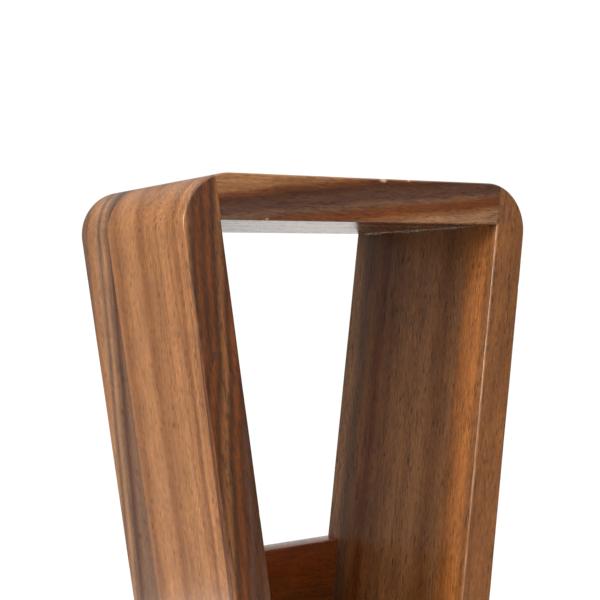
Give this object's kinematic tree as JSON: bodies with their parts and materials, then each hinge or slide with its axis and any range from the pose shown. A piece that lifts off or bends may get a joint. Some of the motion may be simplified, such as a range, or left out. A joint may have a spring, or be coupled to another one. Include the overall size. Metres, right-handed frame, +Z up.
{
  "type": "magazine rack",
  "caption": "Free-standing wooden magazine rack: raked sides joined by a thick rounded top board, with an open window over a trough at the foot.",
  "frame": {"origin": "on the floor, under the middle of the rack", "axes": "+Z up, +X across the rack from the left side to the right side, -Y towards the front"},
  "size_m": [0.4178, 0.275, 0.64],
  "materials": {
    "varnished_walnut": "satin varnish over walnut, fine open pores along the grain",
    "beech_dowel": "bare turned beech",
    "zinc_screw": "zinc plated",
    "nylon_glide": "moulded brown nylon, matt"
  },
  "bodies": {
    "root": {"back_panel": "varnished_walnut", "back_panel_dowel_left_1": "beech_dowel", "back_panel_dowel_left_2": "beech_dowel", "back_panel_dowel_right_1": "beech_dowel", "back_panel_dowel_right_2": "beech_dowel", "back_panel_screw_1": "zinc_screw", "back_panel_screw_2": "zinc_screw", "back_panel_screw_3": "zinc_screw", "floor_dowel_left_1": "beech_dowel", "floor_dowel_left_2": "beech_dowel", "floor_dowel_left_3": "beech_dowel", "floor_dowel_right_1": "beech_dowel", "floor_dowel_right_2": "beech_dowel", "floor_dowel_right_3": "beech_dowel", "front_panel": "varnished_walnut", "front_panel_dowel_left_1": "beech_dowel", "front_panel_dowel_left_2": "beech_dowel", "front_panel_dowel_right_1": "beech_dowel", "front_panel_dowel_right_2": "beech_dowel", "front_panel_screw_1": "zinc_screw", "front_panel_screw_2": "zinc_screw", "front_panel_screw_3": "zinc_screw", "glide_back_left": "nylon_glide", "glide_back_right": "nylon_glide", "glide_front_left": "nylon_glide", "glide_front_right": "nylon_glide", "left_side_back": "varnished_walnut", "left_side_front": "varnished_walnut", "left_side_middle": "varnished_walnut", "right_side_back": "varnished_walnut", "right_side_front": "varnished_walnut", "right_side_middle": "varnished_walnut", "top_board_back": "varnished_walnut", "top_board_front": "varnished_walnut", "top_board_middle": "varnished_walnut", "top_dowel_left_1": "beech_dowel", "top_dowel_left_2": "beech_dowel", "top_dowel_left_3": "beech_dowel", "top_dowel_left_4": "beech_dowel", "top_dowel_right_1": "beech_dowel", "top_dowel_right_2": "beech_dowel", "top_dowel_right_3": "beech_dowel", "top_dowel_right_4": "beech_dowel", "trough_floor_back": "varnished_walnut", "trough_floor_front": "varnished_walnut", "trough_floor_middle": "varnished_walnut"}
  },
  "joints": []
}
